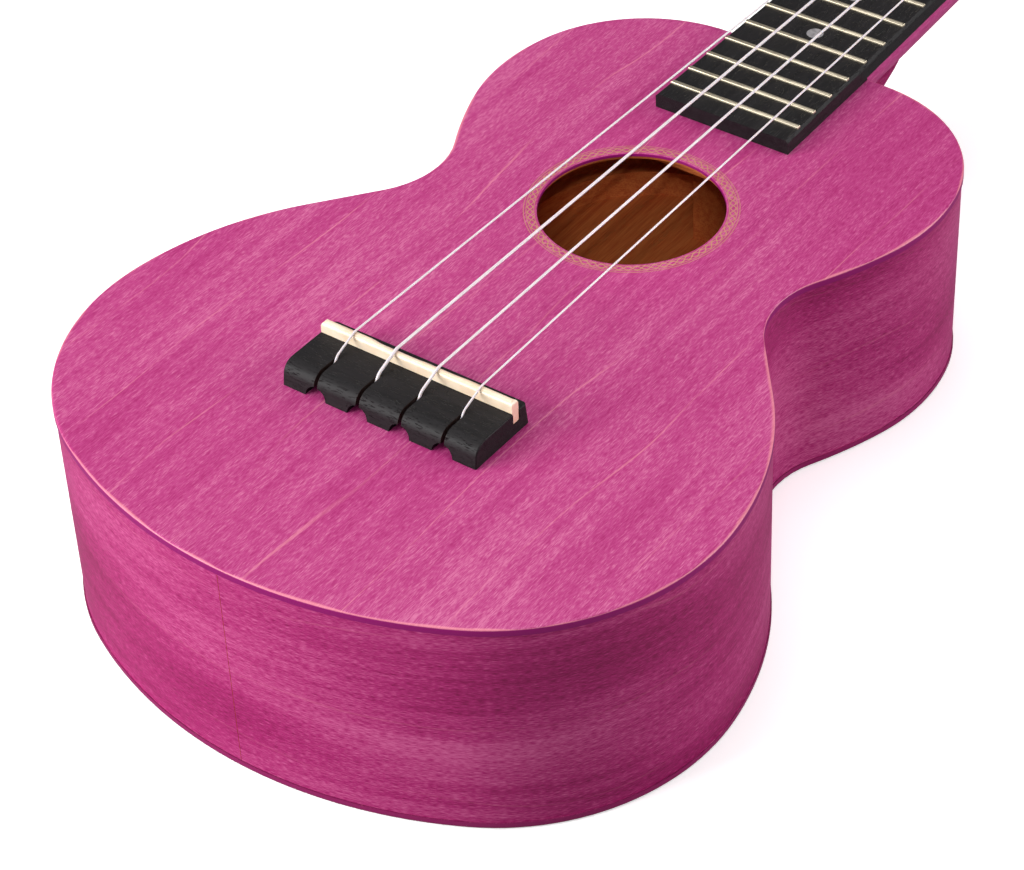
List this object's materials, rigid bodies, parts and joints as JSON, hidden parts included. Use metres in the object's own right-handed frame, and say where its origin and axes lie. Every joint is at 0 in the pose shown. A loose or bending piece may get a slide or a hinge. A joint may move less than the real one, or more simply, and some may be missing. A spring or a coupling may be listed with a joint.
{
  "type": "ukulele",
  "caption": "Small waisted wooden ukulele with a round sound hole, slotted bridge, fretted neck and geared tuners.",
  "frame": {"origin": "on the outside of the back, straight below the saddle", "axes": "+Y from the tail to the headstock, +X towards the A string's side, +Z out of the soundboard"},
  "size_m": [0.201, 0.6075, 0.08],
  "materials": {
    "stained_top": "satin transparent magenta stain",
    "stained_side": "satin transparent magenta stain",
    "stained_neck": "satin transparent magenta stain",
    "black_wood": "oiled, near black",
    "pale_wood": "bare, inside the body",
    "cream_plastic": "polished",
    "pearl_plastic": "pearly",
    "rosette_inlay": "inlaid, lacquered over",
    "fret_metal": "polished nickel alloy",
    "string_nylon": "clear nylon",
    "plated_metal": "plated",
    "gear_brass": "machined"
  },
  "bodies": {
    "body": {"soundboard": "stained_top", "back_plate": "stained_side", "rosette": "rosette_inlay", "side_bass": "stained_side", "side_treble": "stained_side", "neck_block": "pale_wood", "tail_block": "pale_wood", "top_linings": "pale_wood", "back_linings": "pale_wood", "top_brace_upper": "pale_wood", "top_brace_lower": "pale_wood", "fan_braces": "pale_wood", "bridge_plate": "pale_wood", "back_braces": "pale_wood", "bridge": "black_wood", "saddle": "cream_plastic", "neck": "stained_neck", "heel_cap": "black_wood", "headstock_veneer": "stained_neck", "neck_dowels": "pale_wood", "fretboard": "black_wood", "frets": "fret_metal", "position_dots": "pearl_plastic", "side_dots": "pearl_plastic", "nut": "cream_plastic", "tuner_screws": "plated_metal", "tuner_bushings": "plated_metal", "string_g": "string_nylon", "tuner_plate_g": "plated_metal", "string_c": "string_nylon", "tuner_plate_c": "plated_metal", "string_e": "string_nylon", "tuner_plate_e": "plated_metal", "string_a": "string_nylon", "tuner_plate_a": "plated_metal"},
    "post_g": {"string_post_g": "plated_metal", "gear_g": "gear_brass", "gear_screw_g": "plated_metal", "string_wraps_g": "string_nylon"},
    "knob_g": {"worm_shaft_g": "plated_metal", "tuner_button_g": "pearl_plastic"},
    "post_c": {"string_post_c": "plated_metal", "gear_c": "gear_brass", "gear_screw_c": "plated_metal", "string_wraps_c": "string_nylon"},
    "knob_c": {"worm_shaft_c": "plated_metal", "tuner_button_c": "pearl_plastic"},
    "post_e": {"string_post_e": "plated_metal", "gear_e": "gear_brass", "gear_screw_e": "plated_metal", "string_wraps_e": "string_nylon"},
    "knob_e": {"worm_shaft_e": "plated_metal", "tuner_button_e": "pearl_plastic"},
    "post_a": {"string_post_a": "plated_metal", "gear_a": "gear_brass", "gear_screw_a": "plated_metal", "string_wraps_a": "string_nylon"},
    "knob_a": {"worm_shaft_a": "plated_metal", "tuner_button_a": "pearl_plastic"}
  },
  "joints": [
    {"name": "knob_turn_g", "type": "hinge", "parent": "body", "child": "knob_g", "pos_m": [-0.0195, 0.41362, 0.04124], "axis": [1, 0, 0], "continuous": true},
    {"name": "post_turn_g", "type": "hinge", "parent": "body", "child": "post_g", "pos_m": [-0.0195, 0.42417, 0.0572], "axis": [0, 0.2079, 0.9781], "continuous": true},
    {"name": "knob_turn_c", "type": "hinge", "parent": "body", "child": "knob_c", "pos_m": [-0.0215, 0.46057, 0.03126], "axis": [1, 0, 0], "continuous": true},
    {"name": "post_turn_c", "type": "hinge", "parent": "body", "child": "post_c", "pos_m": [-0.0215, 0.47112, 0.04722], "axis": [0, 0.2079, 0.9781], "continuous": true},
    {"name": "knob_turn_e", "type": "hinge", "parent": "body", "child": "knob_e", "pos_m": [0.0215, 0.46057, 0.03126], "axis": [1, 0, 0], "continuous": true},
    {"name": "post_turn_e", "type": "hinge", "parent": "body", "child": "post_e", "pos_m": [0.0215, 0.47112, 0.04722], "axis": [0, 0.2079, 0.9781], "continuous": true},
    {"name": "knob_turn_a", "type": "hinge", "parent": "body", "child": "knob_a", "pos_m": [0.0195, 0.41362, 0.04124], "axis": [1, 0, 0], "continuous": true},
    {"name": "post_turn_a", "type": "hinge", "parent": "body", "child": "post_a", "pos_m": [0.0195, 0.42417, 0.0572], "axis": [0, 0.2079, 0.9781], "continuous": true}
  ],
  "couplings": [
    {"joint": "post_turn_g", "follows": "knob_turn_g", "ratio": 0.0625},
    {"joint": "post_turn_c", "follows": "knob_turn_c", "ratio": 0.0625},
    {"joint": "post_turn_e", "follows": "knob_turn_e", "ratio": -0.0625},
    {"joint": "post_turn_a", "follows": "knob_turn_a", "ratio": -0.0625}
  ]
}
